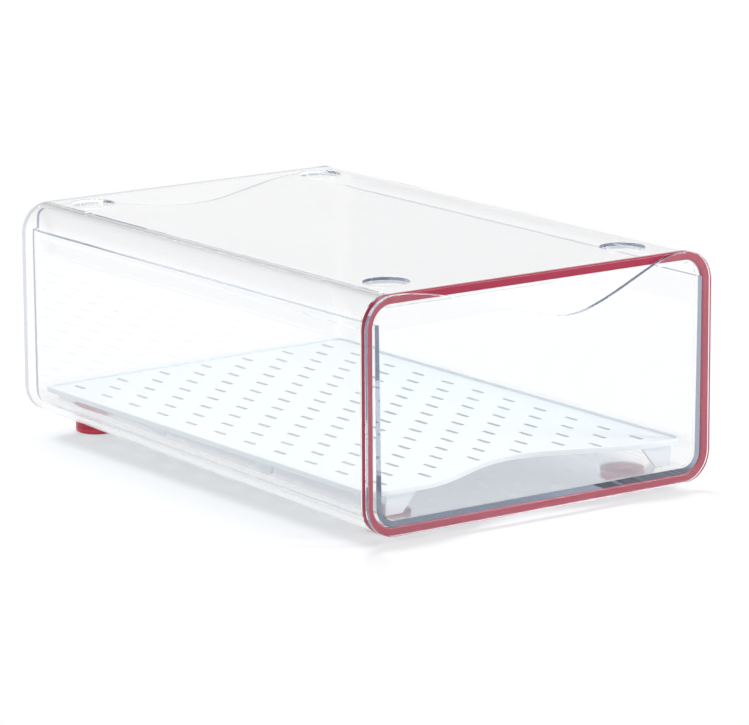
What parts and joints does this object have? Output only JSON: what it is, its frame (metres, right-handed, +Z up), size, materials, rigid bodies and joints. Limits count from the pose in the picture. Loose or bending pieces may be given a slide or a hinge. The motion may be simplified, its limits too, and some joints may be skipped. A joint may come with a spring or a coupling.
{
  "type": "fridge storage bin",
  "caption": "Clear stackable fridge bin with a pull-out drawer, a white draining tray, a red front ring and round red feet",
  "frame": {"origin": "on the floor under the middle of the bin's overall width and depth", "axes": "+Z up, the drawer pulls out towards -Y, +Y runs to the closed back, X across"},
  "size_m": [0.222, 0.33, 0.129],
  "materials": {
    "clear_plastic": "clear, polished",
    "red_rubber": "soft red",
    "white_plastic": "white, satin"
  },
  "bodies": {
    "housing": {"outer_housing": "clear_plastic", "front_seal_ring": "red_rubber", "foot_front_left": "red_rubber", "foot_front_right": "red_rubber", "foot_back_left": "red_rubber", "foot_back_right": "red_rubber"},
    "drawer": {"drawer_bin": "clear_plastic"},
    "tray": {"draining_tray": "white_plastic"}
  },
  "joints": [
    {"name": "drawer_slide", "type": "slide", "parent": "housing", "child": "drawer", "axis": [0, -1, 0], "range_m": [0, 0.314]},
    {"name": "tray_lift", "type": "slide", "parent": "drawer", "child": "tray", "axis": [0, 0, 1], "range_m": [0, 0.09]}
  ]
}
